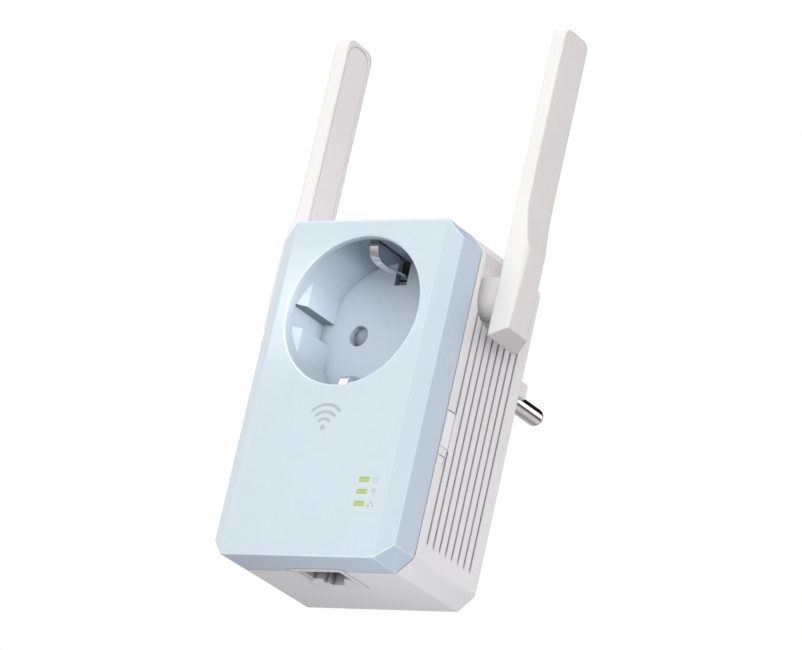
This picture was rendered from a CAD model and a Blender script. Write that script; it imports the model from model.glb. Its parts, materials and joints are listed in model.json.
# A plug-in unit with a socket and status windows: a pale blue housing with printed signs
# on its front. Metres, +Z up; the front faces -Y and the socket's axis is the Y axis.
import json
import math

import bpy
import bmesh
from mathutils import Matrix, Vector


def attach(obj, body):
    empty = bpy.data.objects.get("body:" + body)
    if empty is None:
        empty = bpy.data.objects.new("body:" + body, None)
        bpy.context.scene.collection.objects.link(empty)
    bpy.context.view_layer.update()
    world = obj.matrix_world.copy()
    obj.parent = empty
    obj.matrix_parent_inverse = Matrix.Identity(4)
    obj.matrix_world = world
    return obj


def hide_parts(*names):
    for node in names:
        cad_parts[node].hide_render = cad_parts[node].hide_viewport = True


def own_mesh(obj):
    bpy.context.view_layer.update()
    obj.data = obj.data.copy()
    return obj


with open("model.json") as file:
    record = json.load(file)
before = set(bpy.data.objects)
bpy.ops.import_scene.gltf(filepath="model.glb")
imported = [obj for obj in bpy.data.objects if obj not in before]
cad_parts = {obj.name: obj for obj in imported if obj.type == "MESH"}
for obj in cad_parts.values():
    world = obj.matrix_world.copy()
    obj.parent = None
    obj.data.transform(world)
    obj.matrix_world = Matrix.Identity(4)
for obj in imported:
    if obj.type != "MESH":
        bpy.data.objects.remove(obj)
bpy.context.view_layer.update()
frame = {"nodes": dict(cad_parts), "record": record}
NODES = frame["nodes"]
scene = bpy.context.scene
MM = 0.001

# The front, in millimetres
FRONT_Y = -57.0
WINDOW_X = 15.7
WINDOW_TOP_Z = -45.3
WINDOW_PITCH = 3.15
WINDOW_Z = [WINDOW_TOP_Z - WINDOW_PITCH * i for i in range(3)]
SOCKET_WALL = (20.03, 20.08)  # radii between which the socket's wall gives way to the cover

BLUE = (201, 214, 223)
ANTENNA_GREY = (231, 229, 228)
WHITE_LIGHT = (1, 1, 1, 1)


# ---------------------------------------------------------------------------
# Node helpers
# ---------------------------------------------------------------------------
def linear(rgb):
    """Linear RGBA from sRGB 0-255."""
    out = []
    for v in rgb:
        v = v / 255.0
        out.append(v / 12.92 if v <= 0.04045 else ((v + 0.055) / 1.055) ** 2.4)
    return tuple(out) + (1.0,)


def scaled(colour, gain):
    return tuple(c * gain for c in colour[:3]) + (1,)


class Nodes:
    """Short calls that add nodes to the tree of a world or a material."""

    def __init__(self, owner, output_kind):
        owner.use_nodes = True
        self.tree = owner.node_tree
        self.tree.nodes.clear()
        self.output = self.node(output_kind)
        self.coords = self.node("ShaderNodeTexCoord")

    def put(self, socket, value):
        """Link a socket, or set a plain value."""
        if isinstance(value, bpy.types.NodeSocket):
            self.tree.links.new(value, socket)
        else:
            socket.default_value = value

    def node(self, kind, inputs=None, **settings):
        node = self.tree.nodes.new(kind)
        for key, value in settings.items():
            setattr(node, key, value)
        for key, value in (inputs or {}).items():
            self.put(node.inputs[key], value)
        return node

    def math(self, operation, *values):
        return self.node("ShaderNodeMath", dict(enumerate(values)), operation=operation).outputs[0]

    def vmath(self, operation, *values):
        node = self.node("ShaderNodeVectorMath", dict(enumerate(values)), operation=operation)
        return node.outputs["Value" if operation in ("DOT_PRODUCT", "LENGTH") else 0]

    def split(self, vector):
        return self.node("ShaderNodeSeparateXYZ", {0: vector}).outputs

    def remap(self, value, span, to=(0.0, 1.0), smooth=False):
        """Map the range span onto the range to, clamped."""
        return self.node(
            "ShaderNodeMapRange",
            dict(enumerate((value, *span, *to))),
            interpolation_type="SMOOTHSTEP" if smooth else "LINEAR",
        ).outputs[0]


class Material(Nodes):
    def __init__(self, name):
        self.material = bpy.data.materials.new(name)
        super().__init__(self.material, "ShaderNodeOutputMaterial")

    def mix(self, factor, a, b, blend="MIX"):
        node = self.node(
            "ShaderNodeMix", {0: factor}, data_type="RGBA", blend_type=blend
        )
        self.put(node.inputs[6], a)
        self.put(node.inputs[7], b)
        return node.outputs[2]

    def noise(self, scale, detail=2.0, rough=0.5, vector=None):
        return self.node("ShaderNodeTexNoise", {
            "Vector": self.coords.outputs["Object"] if vector is None else vector,
            "Scale": scale,
            "Detail": detail,
            "Roughness": rough,
        }).outputs[0]

    def bevel(self, radius_mm):
        return self.node("ShaderNodeBevel", {"Radius": radius_mm * MM}, samples=6).outputs[0]

    def edge(self, bevel):
        """1 on rounded edges, 0 on flats."""
        normal = self.node("ShaderNodeNewGeometry").outputs["Normal"]
        bend = self.math("SUBTRACT", 1.0, self.vmath("DOT_PRODUCT", bevel, normal))
        return self.remap(bend, span=(0.01, 0.12), smooth=True)

    def occlusion(self, distance_mm, samples=6):
        return self.node(
            "ShaderNodeAmbientOcclusion", {"Distance": distance_mm * MM}, samples=samples
        ).outputs["AO"]

    def true_normal(self):
        """The x, y and z of the face normal."""
        return self.split(self.node("ShaderNodeNewGeometry").outputs["True Normal"])

    def bump(self, height, strength, distance, normal=None):
        node = self.node(
            "ShaderNodeBump", {"Height": height, "Strength": strength, "Distance": distance}
        )
        if normal is not None:
            self.put(node.inputs["Normal"], normal)
        return node.outputs[0]

    def surface(self, colour, roughness, normal=None, metallic=0.0, specular=0.5):
        self.shader = self.node("ShaderNodeBsdfPrincipled", {
            "Base Color": colour,
            "Roughness": roughness,
            "Metallic": metallic,
            "Specular IOR Level": specular,
        })
        if normal is not None:
            self.put(self.shader.inputs["Normal"], normal)
        self.put(self.output.inputs["Surface"], self.shader.outputs[0])

    def set_shader(self, inputs):
        for key, value in inputs.items():
            self.put(self.shader.inputs[key], value)

    def base_colour(self):
        return self.shader.inputs["Base Color"].links[0].from_socket

    def recolour(self, factor, colour):
        """Mix a colour over the present base colour."""
        self.set_shader({"Base Color": self.mix(factor, self.base_colour(), colour)})


# ---------------------------------------------------------------------------
# Plastics and metals
# ---------------------------------------------------------------------------
def plastic(name, rgb, rough=0.42, grain=0.10, variation=0.03, warm=(255, 250, 240),
            bevel=0.22, edge_wear=0.5, grime=0.10, subsurface=0.0,
            crevice=0.0, crevice_reach=2.2):
    """Moulded plastic: fine grain, flow variation, soft edges and a little grime in corners.

    bevel and crevice_reach are in mm; crevice is how far deep corners darken.
    """
    m = Material(name)
    base = linear(rgb)
    flow = m.noise(scale=34, detail=3.0, rough=0.55)
    mottle = m.noise(scale=420, detail=3.0, rough=0.6)
    fine = m.noise(scale=2600, detail=3.0, rough=0.62)
    dark, light = scaled(base, 1 - variation * 1.6), scaled(base, 1 + variation)
    colour = m.mix(m.remap(flow, span=(0.35, 0.65), smooth=True), dark, light)
    colour = m.mix(m.remap(mottle, span=(0.3, 0.7), to=(0.0, 0.05)), colour, linear(warm))

    # Worn edges
    rounded = m.bevel(bevel)
    patches = m.noise(scale=150, detail=4.0, rough=0.7)
    patches = m.remap(patches, span=(0.38, 0.62), to=(0.35, 1.0))
    wear = m.math("MULTIPLY", m.edge(rounded), patches)
    colour = m.mix(m.math("MULTIPLY", wear, edge_wear * 0.35), colour, (1, 1, 1, 1))

    # Grime, then the dark of deep corners
    corners = m.remap(m.occlusion(3.5), span=(0.25, 0.95), to=(1.0, 0.0))
    patches = m.noise(scale=90, detail=4.0, rough=0.65)
    dirt = m.math("MULTIPLY", corners, m.remap(patches, span=(0.3, 0.7), to=(0.5, 1.0)))
    colour = m.mix(m.math("MULTIPLY", dirt, grime), colour, scaled(base, 0.55))
    if crevice:
        deep = m.occlusion(crevice_reach, samples=8)
        deep = m.remap(deep, span=(0.05, 0.60), to=(1.0, 0.0), smooth=True)
        colour = m.mix(m.math("MULTIPLY", deep, crevice), colour, scaled(base, 0.12))

    blend = m.math("ADD", m.math("MULTIPLY", mottle, 0.6), m.math("MULTIPLY", flow, 0.4))
    roughness = m.remap(blend, span=(0.3, 0.7), to=(rough - 0.05, rough + 0.06))
    roughness = m.math("SUBTRACT", roughness, m.math("MULTIPLY", wear, 0.10))
    normal = m.bump(fine, strength=grain, distance=0.00003, normal=rounded)
    waves = m.noise(scale=95, detail=2.0, rough=0.5)
    normal = m.bump(waves, strength=0.05, distance=0.0003, normal=normal)
    m.surface(colour, roughness, normal, specular=0.45)
    if subsurface:
        m.set_shader({
            "Subsurface Weight": subsurface,
            "Subsurface Radius": (1.0, 1.0, 1.0),
            "Subsurface Scale": 0.0012,
        })
    return m


def metal(name, rgb, rough, axis, lines, tarnish, bevel=0.12):
    """Metal with drawn lines along one axis, fine scratches and faint tarnish."""
    m = Material(name)
    base = linear(rgb)
    stretched = m.node("ShaderNodeMapping", {
        "Vector": m.coords.outputs["Object"],
        "Scale": tuple(60 if a == axis else 2600 for a in "xyz"),
    }).outputs[0]
    drawn = m.noise(scale=1.0, detail=3.0, rough=0.6, vector=stretched)
    fine = m.noise(scale=5200, detail=2.0, rough=0.6)
    blots = m.noise(scale=260, detail=4.0, rough=0.65)
    rounded = m.bevel(bevel)
    tarnished = m.remap(blots, span=(0.45, 0.75), to=(0, tarnish))
    colour = m.mix(tarnished, base, scaled(base, 0.62))
    edge = m.math("MULTIPLY", m.edge(rounded), 0.4)
    colour = m.mix(edge, colour, (0.95, 0.95, 0.95, 1))
    roughness = m.remap(drawn, span=(0.3, 0.7), to=(rough * 0.8, rough * 1.35))
    dull = m.remap(blots, span=(0.5, 0.8), to=(0.0, 0.12))
    roughness = m.math("ADD", roughness, dull)
    height = m.math("ADD", m.math("MULTIPLY", drawn, 0.7), m.math("MULTIPLY", fine, 0.3))
    normal = m.bump(height, strength=lines, distance=0.000012, normal=rounded)
    m.surface(colour, roughness, normal, metallic=1.0)
    return m


PLASTICS = {
    "pale_blue_plastic": dict(
        rgb=BLUE, rough=0.40, variation=0.012, grime=0.16, subsurface=0.06),
    "socket_plastic": dict(
        rgb=(194, 205, 216), variation=0.012, grime=0.2, subsurface=0.06,
        crevice=0.75, crevice_reach=5),
    "white_plastic": dict(
        rgb=(243, 241, 243), rough=0.44, grain=0.12, variation=0.012, grime=0.22,
        subsurface=0.06, crevice=0.8, crevice_reach=3.4),
    "antenna_plastic": dict(
        rgb=ANTENNA_GREY, rough=0.40, grain=0.08, variation=0.012, grime=0.16, bevel=0.75,
        edge_wear=2.6, subsurface=0.06),
    "button_plastic": dict(
        rgb=(250, 249, 251), rough=0.36, grain=0.06, variation=0.012, grime=0.2, bevel=0.18),
    "jack_plastic": dict(
        rgb=(236, 234, 236), rough=0.38, grain=0.08, variation=0.02, grime=0.3, bevel=0.12,
        crevice=0.97, crevice_reach=18),
    "shutter_grey": dict(
        rgb=(196, 206, 216), rough=0.35, variation=0.02, grime=0.3, bevel=0.12,
        crevice=0.95, crevice_reach=4.5),
    "black_plastic": dict(
        rgb=(28, 28, 30), rough=0.5, grain=0.15, variation=0.1, warm=(70, 68, 64),
        edge_wear=0.15, grime=0.3),
    "switch_plunger": dict(rgb=(206, 198, 178), rough=0.4),
    "suppression_box": dict(rgb=(214, 178, 60), rough=0.3, variation=0.04),
    "plate_grey": dict(
        rgb=(216, 217, 220), rough=0.30, grain=0.05, variation=0.01, bevel=0.05),
    "coax_jacket": dict(rgb=(38, 38, 40), rough=0.35, variation=0.05, edge_wear=0.1),
    "wire_insulation": dict(rgb=(160, 40, 34), rough=0.32, variation=0.05, edge_wear=0.1),
    "capacitor_sleeve": dict(rgb=(34, 42, 62), rough=0.22, variation=0.06, edge_wear=0.2),
}
METALS = {
    "chrome_pin": dict(
        rgb=(214, 211, 213), rough=0.065, axis="y", lines=0.16, tarnish=0.06, bevel=0.1),
    "spring_steel": dict(rgb=(236, 235, 236), rough=0.20, axis="y", lines=0.08, tarnish=0.03),
    "contact_brass": dict(rgb=(205, 170, 100), rough=0.24, axis="y", lines=0.3, tarnish=0.35),
    "contact_gold": dict(
        rgb=(226, 190, 110), rough=0.18, axis="z", lines=0.2, tarnish=0.1, bevel=0.05),
    "shield_tin": dict(rgb=(196, 198, 200), rough=0.32, axis="x", lines=0.4, tarnish=0.3),
    "screw_steel": dict(rgb=(168, 170, 174), rough=0.28, axis="y", lines=0.3, tarnish=0.3),
}


# ---------------------------------------------------------------------------
# Single materials
# ---------------------------------------------------------------------------
def board(name):
    """Green circuit board with paler tracks and small light specks."""
    m = Material(name)
    cells = m.node(
        "ShaderNodeTexVoronoi",
        {"Vector": m.coords.outputs["Object"], "Scale": 420},
        feature="DISTANCE_TO_EDGE",
    ).outputs[0]
    tracks = m.remap(cells, span=(0.02, 0.05), to=(1.0, 0.0))
    colour = m.mix(tracks, linear((18, 92, 54)), linear((40, 128, 78)))
    specks = m.remap(m.noise(scale=900), span=(0.6, 0.66), to=(0, 0.8))
    colour = m.mix(specks, colour, linear((210, 200, 170)))
    roughness = m.remap(m.noise(scale=300, detail=3), span=(0.3, 0.7), to=(0.22, 0.34))
    normal = m.bump(tracks, strength=0.3, distance=0.00004, normal=m.bevel(0.1))
    m.surface(colour, roughness, normal)
    return m


def tape(name):
    """Yellow tape wound in bands stacked along Z."""
    m = Material(name)
    bands = m.node(
        "ShaderNodeTexWave",
        {"Vector": m.coords.outputs["Object"], "Scale": 330, "Distortion": 1.5},
        wave_type="BANDS", bands_direction="Z",
    ).outputs[1]
    factor = m.remap(bands, span=(0.35, 0.65))
    colour = m.mix(factor, linear((196, 160, 40)), linear((232, 204, 84)))
    normal = m.bump(bands, strength=0.3, distance=0.00006, normal=m.bevel(0.3))
    m.surface(colour, roughness=0.26, normal=normal)
    return m


def ferrite(name):
    m = Material(name)
    grains = m.remap(m.noise(scale=1500, detail=4, rough=0.7), span=(0.35, 0.65))
    colour = m.mix(grains, linear((34, 34, 37)), linear((62, 62, 66)))
    height = m.noise(scale=2800, detail=4, rough=0.7)
    normal = m.bump(height, strength=0.4, distance=0.00005, normal=m.bevel(0.2))
    m.surface(colour, roughness=0.62, normal=normal)
    return m


def glass(name):
    m = Material(name)
    haze = m.remap(m.noise(scale=300, detail=3), span=(0.4, 0.7), to=(0, 0.3))
    colour = m.mix(haze, linear((225, 234, 236)), linear((190, 198, 196)))
    normal = m.bump(m.noise(scale=120), strength=0.1, distance=0.0001)
    m.surface(colour, roughness=0.08, normal=normal)
    m.set_shader({"Transmission Weight": 0.85, "IOR": 1.5})
    return m


def light_pipe(name):
    """Lit translucent window with a slight haze."""
    m = Material(name)
    haze = m.noise(scale=2400, detail=3, rough=0.6)
    factor = m.remap(haze, span=(0.35, 0.65))
    colour = m.mix(factor, linear((158, 178, 96)), linear((168, 186, 108)))
    roughness = m.remap(haze, span=(0.3, 0.7), to=(0.22, 0.36))
    normal = m.bump(haze, strength=0.15, distance=0.00003, normal=m.bevel(0.1))
    m.surface(colour, roughness, normal)
    factor = m.remap(haze, span=(0.3, 0.7))
    glow = m.mix(factor, linear((196, 222, 120)), linear((206, 230, 140)))
    m.set_shader({"Emission Color": glow, "Emission Strength": 0.13})
    return m


def led(name):
    m = Material(name)
    factor = m.remap(m.noise(scale=3000), span=(0.3, 0.7))
    colour = m.mix(factor, linear((150, 220, 90)), linear((200, 240, 150)))
    m.surface(colour, roughness=0.3)
    m.set_shader({"Emission Color": colour, "Emission Strength": 2.0})
    return m


def ink(name, rgb):
    m = Material(name)
    speckle = m.noise(scale=5000, detail=3, rough=0.6)
    factor = m.remap(speckle, span=(0.35, 0.65))
    colour = m.mix(factor, linear(rgb), linear(tuple(c + 10 for c in rgb)))
    roughness = m.remap(speckle, span=(0.3, 0.7), to=(0.42, 0.56))
    m.surface(colour, roughness, m.bump(speckle, strength=0.2, distance=0.00001))
    return m


def floor_paint(name):
    m = Material(name)
    factor = m.remap(m.noise(scale=3, detail=4, rough=0.6), span=(0.3, 0.7))
    colour = m.mix(factor, linear((236, 237, 238)), linear((243, 243, 243)))
    normal = m.bump(m.noise(scale=700, detail=3), strength=0.05, distance=0.0002)
    m.surface(colour, roughness=0.7, normal=normal)
    return m


MATERIALS = {name: plastic(name, **look) for name, look in PLASTICS.items()}
MATERIALS.update({name: metal(name, **look) for name, look in METALS.items()})
for name, build in (
    ("board_green", board),
    ("winding_tape", tape),
    ("ferrite", ferrite),
    ("fuse_glass", glass),
    ("light_pipe", light_pipe),
    ("led_green", led),
):
    MATERIALS[name] = build(name)


# ---------------------------------------------------------------------------
# Layers over the base colour
# ---------------------------------------------------------------------------
def outside_socket(m):
    """0 on the wall of the socket opening, 1 on the rest of the cover."""
    flat = m.vmath("MULTIPLY", m.coords.outputs["Object"], (1, 0, 1))
    return m.remap(m.vmath("LENGTH", flat), span=[r * MM for r in SOCKET_WALL])


def add_edge_line(m, flats, gain):
    """Worn, slightly polished line wherever the normal leaves the flats' directions."""
    normal = m.true_normal()
    folded = m.node("ShaderNodeCombineXYZ", {
        0: m.math("ABSOLUTE", normal[0]),
        1: normal[1],
        2: m.math("ABSOLUTE", normal[2]),
    }).outputs[0]
    nearest = None
    for flat in flats:
        match = m.vmath("DOT_PRODUCT", folded, tuple(Vector(flat).normalized()))
        nearest = match if nearest is None else m.math("MAXIMUM", nearest, match)
    line = m.remap(m.math("SUBTRACT", 1.0, nearest), span=(0.002, 0.013), smooth=True)
    patches = m.noise(scale=120, detail=3.0, rough=0.6)
    line = m.math("MULTIPLY", line, m.remap(patches, span=(0.3, 0.7), to=(0.75, 1.0)))
    line = m.math("MULTIPLY", line, outside_socket(m))
    # The line is stronger on downward faces
    strength = m.remap(normal[2], span=(-0.50, -0.15), to=(gain * 2.2, gain))
    m.recolour(m.math("MULTIPLY", line, strength), linear((238, 247, 252)))


def add_side_tint(m, rgb, base, spare_socket):
    """Faces turned away from the front and back shift from the base towards rgb."""
    factor = m.math("ABSOLUTE", m.true_normal()[1])
    factor = m.remap(factor, span=(0.15, 0.75), to=(1.0, 0.0), smooth=True)
    if spare_socket:
        factor = m.math("MULTIPLY", factor, outside_socket(m))
    tint = tuple(a / b for a, b in zip(linear(rgb)[:3], linear(base)[:3])) + (1,)
    m.recolour(factor, m.mix(1.0, m.base_colour(), tint, blend="MULTIPLY"))


def add_under_shade(m, gain):
    """Undersides inside the socket cup lie in its own shade."""
    factor = m.remap(m.true_normal()[2], span=(-0.98, -0.80), to=(gain, 0.0), smooth=True)
    m.recolour(factor, linear((96, 108, 120)))


def add_glow(m, centres, colour, strength, tint):
    """Faint light on the cover around each lit window."""
    total = None
    for centre in centres:
        offset = m.node("ShaderNodeMapping", {
            "Vector": m.coords.outputs["Object"],
            "Location": tuple(-c * MM for c in centre),
        }).outputs[0]
        # An oval, widest along X
        distance = m.vmath("LENGTH", m.vmath("MULTIPLY", offset, (0.62, 1.0, 1.25)))
        glow = m.remap(distance, span=(0.00095, 0.0017), to=(1.0, 0.0), smooth=True)
        total = glow if total is None else m.math("ADD", total, glow)
    total = m.math("MINIMUM", total, 1.0)
    m.set_shader({
        "Emission Color": colour,
        "Emission Strength": m.math("MULTIPLY", total, strength),
    })
    m.recolour(m.math("MULTIPLY", total, tint), colour)


# Directions of the cover's flat faces, with x and z taken as positive
COVER_FLATS = [(0, -1, 0), (2.3, -4.35, 0), (1, 0, 0), (0, 0, 1), (4.25, 0, 4.35)]

cover = plastic(
    "front_cover_plastic", BLUE, rough=0.36, variation=0.010, grime=0.16,
    bevel=0.6, edge_wear=1.3, subsurface=0.06,
)
add_edge_line(cover, COVER_FLATS, gain=0.42)
add_side_tint(cover, rgb=(201, 216, 231), base=BLUE, spare_socket=True)
add_side_tint(
    MATERIALS["antenna_plastic"], rgb=(235, 230, 231), base=ANTENNA_GREY, spare_socket=False
)
add_under_shade(MATERIALS["socket_plastic"], gain=0.72)
add_glow(
    cover, [(WINDOW_X, FRONT_Y, z) for z in WINDOW_Z],
    colour=linear((190, 218, 112)), strength=0.035, tint=0.42,
)


# ---------------------------------------------------------------------------
# CAD pieces: weld split faces, smooth by angle, then the material
# ---------------------------------------------------------------------------
def smooth_group(degrees, weld_distance):
    """Merge close vertices, then keep only edges sharper than the angle sharp."""
    group = bpy.data.node_groups.new("weld_and_smooth_%d" % degrees, "GeometryNodeTree")
    for direction in ("INPUT", "OUTPUT"):
        group.interface.new_socket(
            "Geometry", in_out=direction, socket_type="NodeSocketGeometry"
        )
    new, link = group.nodes.new, group.links.new
    source, result = new("NodeGroupInput"), new("NodeGroupOutput")
    weld = new("GeometryNodeMergeByDistance")
    weld.inputs["Distance"].default_value = weld_distance
    angle = new("GeometryNodeInputMeshEdgeAngle")
    sharp = new("FunctionNodeCompare")
    sharp.data_type, sharp.operation = "FLOAT", "GREATER_THAN"
    sharp.inputs[1].default_value = math.radians(degrees)
    faces = new("GeometryNodeSetShadeSmooth")
    faces.domain = "FACE"
    faces.inputs["Shade Smooth"].default_value = True
    edges = new("GeometryNodeSetShadeSmooth")
    edges.domain = "EDGE"
    invert = new("FunctionNodeBooleanMath")
    invert.operation = "NOT"
    link(source.outputs[0], weld.inputs["Geometry"])
    link(weld.outputs[0], faces.inputs["Geometry"])
    link(faces.outputs[0], edges.inputs["Geometry"])
    link(angle.outputs["Unsigned Angle"], sharp.inputs[0])
    link(sharp.outputs[0], invert.inputs[0])
    link(invert.outputs[0], edges.inputs["Shade Smooth"])
    link(edges.outputs[0], result.inputs[0])
    return group


def clear_normals(mesh):
    for name in ("custom_normal", "sharp_face", "sharp_edge"):
        if name in mesh.attributes:
            # Guards against an attribute that Blender won't let go
            try:
                mesh.attributes.remove(mesh.attributes[name])
            except RuntimeError:
                pass


SMOOTH = smooth_group(degrees=24, weld_distance=2e-6)
slot_of = {part["node"]: part.get("material_slot") for part in frame["record"]["subparts"]}
own_material = {"front_cover": cover, "socket_well": MATERIALS["socket_plastic"]}

for name, piece in NODES.items():
    clear_normals(piece.data)
    piece.modifiers.new("weld_and_smooth", "NODES").node_group = SMOOTH
    weighted = piece.modifiers.new("flat_faces_first", "WEIGHTED_NORMAL")
    weighted.mode = "FACE_AREA"
    weighted.weight = 100
    weighted.keep_sharp = True
    by_slot = MATERIALS.get(slot_of.get(name), MATERIALS["white_plastic"])
    piece.data.materials.clear()
    piece.data.materials.append(own_material.get(name, by_slot).material)

# ---------------------------------------------------------------------------
# Printed signs on the front, raised by the ink's thickness; all in millimetres
# ---------------------------------------------------------------------------
INK = ink("printed_grey", (172, 179, 189))
INK_BACK_Y = FRONT_Y + 0.002
INK_THICKNESS = 0.014
SIGN_X = 19.2  # of the small signs beside the windows
STROKE = 0.18  # line width of the small signs
CAP_STEPS = 8  # segments in each rounded end


def prism(bm, outline):
    """Solid with an outline of (x, z) points, raised towards -Y."""
    back, front = (
        [bm.verts.new((x * MM, y * MM, z * MM)) for x, z in outline]
        for y in (INK_BACK_Y, INK_BACK_Y - INK_THICKNESS)
    )
    ends = [bm.faces.new(front), bm.faces.new(back[::-1])]
    for i in range(len(outline)):
        j = (i + 1) % len(outline)
        bm.faces.new((back[i], back[j], front[j], front[i]))
    bmesh.ops.triangulate(bm, faces=ends)


def disc(bm, x, z, radius, segments=24):
    turns = [2 * math.pi * i / segments for i in range(segments)]
    prism(bm, [(x + radius * math.cos(t), z + radius * math.sin(t)) for t in turns])


def arc(bm, x, z, radius, width, start, end, segments=28):
    """Ring segment about (x, z) with rounded ends, between two angles in degrees."""
    half = width / 2
    outer, inner = [], []
    for i in range(segments + 1):
        a = math.radians(start + (end - start) * i / segments)
        for side, r in ((outer, radius + half), (inner, radius - half)):
            side.append((x + r * math.cos(a), z + r * math.sin(a)))
    for i in range(segments):
        prism(bm, [outer[i], outer[i + 1], inner[i + 1], inner[i]])
    for degrees, sign in ((end, 1), (start, -1)):
        a = math.radians(degrees)
        out_x, out_z = math.cos(a), math.sin(a)
        along_x, along_z = -out_z * sign, out_x * sign
        cap = []
        for k in range(CAP_STEPS + 1):
            t = math.pi * k / CAP_STEPS
            cap.append((
                x + radius * out_x + half * (out_x * math.cos(t) + along_x * math.sin(t)),
                z + radius * out_z + half * (out_z * math.cos(t) + along_z * math.sin(t)),
            ))
        prism(bm, cap)


def bar(bm, x0, z0, x1, z1, width):
    """Straight line with rounded ends."""
    length = math.hypot(x1 - x0, z1 - z0)
    ux, uz = (x1 - x0) / length, (z1 - z0) / length
    outline = []
    for x, z, first in ((x1, z1, -math.pi / 2), (x0, z0, math.pi / 2)):
        for k in range(CAP_STEPS + 1):
            t = first + math.pi * k / CAP_STEPS
            outline.append((
                x + width / 2 * (ux * math.cos(t) - uz * math.sin(t)),
                z + width / 2 * (uz * math.cos(t) + ux * math.sin(t)),
            ))
    prism(bm, outline)


def icon_wireless(bm):
    """Large sign: a dot under three arcs."""
    x, z = -0.6, -31.6
    disc(bm, x, z, radius=0.75)
    for radius in (2.3, 4.2, 6.1):
        arc(bm, x, z, radius, width=0.84, start=47, end=133)


def icon_power(bm):
    """Ring open at the top with an upright bar."""
    z = WINDOW_Z[0]
    arc(bm, SIGN_X, z, radius=0.69, width=STROKE, start=125, end=415)
    bar(bm, SIGN_X, z + 0.15, SIGN_X, z + 0.85, width=STROKE)


def icon_signal(bm):
    """Small dot under three arcs."""
    z = WINDOW_Z[1] - 0.55
    disc(bm, SIGN_X, z, radius=0.20)
    for radius in (0.55, 0.95, 1.35):
        arc(bm, SIGN_X, z, radius, width=STROKE, start=45, end=135)


def icon_link(bm):
    """One box above and two below a level bar."""
    z = WINDOW_Z[2]
    reach = 0.7
    half_width = 0.30
    half_height = half_width * 0.8
    for dx, dz in ((0, 0.5), (-reach, -0.5), (reach, -0.5)):
        prism(bm, [
            (SIGN_X + dx + a * half_width, z + dz + b * half_height)
            for a, b in ((-1, -1), (1, -1), (1, 1), (-1, 1))
        ])
    bar(bm, SIGN_X - reach, z, SIGN_X + reach, z, width=0.12)


def add_mesh(name, bm, material):
    mesh = bpy.data.meshes.new(name)
    bm.to_mesh(mesh)
    bm.free()
    mesh.materials.append(material.material)
    piece = bpy.data.objects.new(name, mesh)
    scene.collection.objects.link(piece)
    return piece


for draw in (icon_wireless, icon_power, icon_signal, icon_link):
    bm = bmesh.new()
    draw(bm)
    bmesh.ops.recalc_face_normals(bm, faces=bm.faces)
    sign = add_mesh(draw.__name__, bm, INK)
    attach(sign, "housing")

# ---------------------------------------------------------------------------
# Camera
# ---------------------------------------------------------------------------
CAMERA_PLACE = (0.7253779, -1.0003413, -0.3925201)
CAMERA_AXES = (
    (0.8210633, 0.5309656, 0.2095963),    # right
    (0.0067741, -0.3762107, 0.9265094),   # up
    (0.5707970, -0.7593030, -0.3124896),  # back, away from the view
)
camera_data = bpy.data.cameras.new("camera")
camera = bpy.data.objects.new("camera", camera_data)
scene.collection.objects.link(camera)
turn = Matrix(CAMERA_AXES).transposed().to_4x4()
camera.matrix_world = Matrix.Translation(CAMERA_PLACE) @ turn
camera_data.sensor_width = 36.0
camera_data.lens = 224.611182
camera_data.clip_start = 0.01
camera_data.clip_end = 50
scene.camera = camera

# ---------------------------------------------------------------------------
# Floor
# ---------------------------------------------------------------------------
bm = bmesh.new()
bmesh.ops.create_grid(bm, x_segments=8, y_segments=8, size=9.0)
floor = add_mesh("floor", bm, floor_paint("floor_paint"))
floor.location = (0, 0, -0.62)
floor.visible_diffuse = False
floor.visible_glossy = False

# ---------------------------------------------------------------------------
# World: plain white to the camera, shaped light for everything else
# ---------------------------------------------------------------------------
BRIGHT_SIDE = Vector((-0.12, -0.86, 0.50)).normalized()
# Reflected light from behind: (angle about Y as a fraction of a turn, strength).
# 0 and 1 are -X, 0.25 is down, 0.5 is +X and 0.75 is up.
REAR_PEAK = 1.50
REAR_LIGHT = [
    (0.00, 0.62), (0.08, 0.60), (0.16, 0.42), (0.22, 0.40), (0.30, 0.78), (0.36, 0.86),
    (0.41, 0.62), (0.435, 0.20), (0.465, 0.08), (0.488, 0.10), (0.503, REAR_PEAK),
    (0.622, REAR_PEAK), (0.638, 0.01), (0.93, 0.01), (0.95, 0.50), (1.00, 0.62),
]


def diffuse_strength(sky, direction, x, z):
    """Brightest from the upper front, less from below, least from the lower left."""
    facing = sky.vmath("DOT_PRODUCT", direction, BRIGHT_SIDE)
    facing = sky.remap(facing, span=(-0.5, 1.0), to=(0.46, 1.16))
    low = sky.math("ADD", sky.math("MULTIPLY", z, 0.93), sky.math("MULTIPLY", x, 0.10))
    low = sky.remap(low, span=(-0.95, -0.25), to=(0.66, 1.0), smooth=True)
    return sky.math("MULTIPLY", facing, low)


def rear_strength(sky, x, z):
    angle = sky.math("DIVIDE", sky.math("ARCTAN2", z, x), math.pi)
    turn = sky.math("MULTIPLY_ADD", angle, 0.5, 0.5)
    ramp = sky.node("ShaderNodeValToRGB", {0: turn})
    stops = ramp.color_ramp.elements
    stops.remove(stops[-1])
    for i, (place, strength) in enumerate(REAR_LIGHT):
        stop = stops.new(place) if i else stops[0]
        stop.position = place
        stop.color = (strength / REAR_PEAK,) * 3 + (1,)
    return sky.math("MULTIPLY", ramp.outputs[0], REAR_PEAK)


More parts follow.
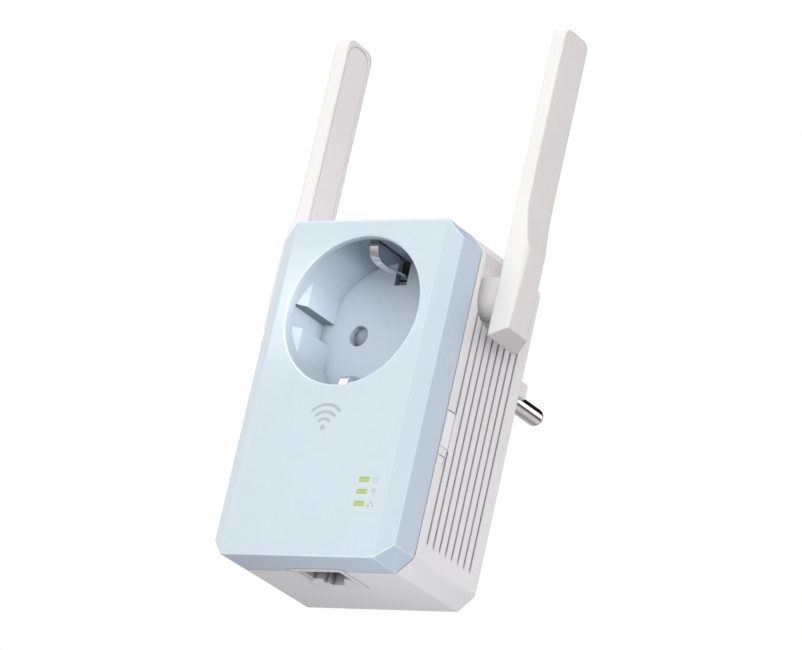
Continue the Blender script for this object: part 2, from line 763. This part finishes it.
def front_strength(sky, x, z):
    """Bright above, darker below, with a soft dim band a little to the right (+X)."""
    height = sky.remap(z, span=(-0.55, 0.55), to=(0.32, 1.35), smooth=True)
    band = sky.math("ABSOLUTE", sky.math("SUBTRACT", x, 0.35))
    band = sky.remap(band, span=(0.0, 0.30), to=(0.72, 1.0), smooth=True)
    return sky.math("MULTIPLY", height, band)


def build_world(name):
    world = bpy.data.worlds.new(name)
    scene.world = world
    sky = Nodes(world, "ShaderNodeOutputWorld")
    direction = sky.coords.outputs["Generated"]
    x, y, z = sky.split(direction)

    def background(colour, strength):
        inputs = {"Color": colour, "Strength": strength}
        return sky.node("ShaderNodeBackground", inputs).outputs[0]

    def choose(factor, first, second):
        return sky.node("ShaderNodeMixShader", {0: factor, 1: first, 2: second}).outputs[0]

    behind = sky.remap(y, span=(0.20, 0.50), smooth=True)
    rear = sky.math("MULTIPLY", rear_strength(sky, x, z), behind)
    ahead = sky.math("SUBTRACT", 1.0, behind)
    front = sky.math("MULTIPLY", front_strength(sky, x, z), ahead)
    reflected = background((1, 0.992, 0.996, 1), sky.math("ADD", rear, front))
    diffuse = background(WHITE_LIGHT, diffuse_strength(sky, direction, x, z))
    backdrop = background(WHITE_LIGHT, 1.0)
    ray = sky.node("ShaderNodeLightPath").outputs
    lighting = choose(ray["Is Glossy Ray"], diffuse, reflected)
    seen = choose(ray["Is Camera Ray"], lighting, backdrop)
    sky.put(sky.output.inputs["Surface"], seen)


build_world("studio")

# ---------------------------------------------------------------------------
# Lights
# ---------------------------------------------------------------------------
CENTRE = (0, -0.03, 0.01)


def place_light(light, location, target, hidden):
    """Aim a light at a target; a hidden one shows in no reflection."""
    lamp = bpy.data.objects.new(light.name, light)
    lamp.location = location
    lamp.rotation_mode = "QUATERNION"
    aim = Vector(target) - Vector(location)
    lamp.rotation_quaternion = aim.to_track_quat("-Z", "Y")
    scene.collection.objects.link(lamp)
    if hidden:
        lamp.visible_glossy = False
        lamp.visible_camera = False


def area(name, location, size, power, target=CENTRE, colour=(1, 1, 1), hidden=False):
    light = bpy.data.lights.new(name, "AREA")
    light.shape = "RECTANGLE"
    light.size, light.size_y = size
    light.energy = power
    light.color = colour
    place_light(light, location, target, hidden)


area("key_light", (-0.75, -1.25, 0.95), size=(0.8, 0.8), power=4.0)
area("fill_light", (0.85, -1.15, 0.10), size=(0.6, 0.6), power=3.35, hidden=True)
area("side_light", (1.3, -0.35, 0.35), size=(0.5, 1.0), power=0.95)
area(
    "under_light", (0.032, -0.052, -0.125), size=(0.03, 0.03), power=0.0138,
    target=(0.026, -0.052, 0.0), colour=(0.88, 0.92, 1.0), hidden=True,
)
area("back_light", (-0.4, 1.3, 0.8), size=(0.9, 0.7), power=9.0, hidden=True)

# A narrow beam into the socket from the right
beam = bpy.data.lights.new("socket_light", "SPOT")
beam.energy = 0.32
beam.spot_size = math.radians(17)
beam.spot_blend = 0.8
beam.shadow_soft_size = 0.012
place_light(beam, (0.060, -0.100, -0.004), target=(-0.019, -0.050, 0.0025), hidden=True)

scene.view_settings.view_transform = "Standard"
scene.view_settings.look = "None"

# ---------------------------------------------------------------------------
# The shutter's return spring shortens as the shutter slides up
# ---------------------------------------------------------------------------
spring = NODES["shutter_spring"]
coil = bpy.data.objects.new("shutter_return_coil", spring.data.copy())
scene.collection.objects.link(coil)
for modifier in spring.modifiers:
    if modifier.type == "NODES":
        coil.modifiers.new(modifier.name, "NODES").node_group = modifier.node_group
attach(coil, "housing")
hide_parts("shutter_spring")
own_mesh(coil)
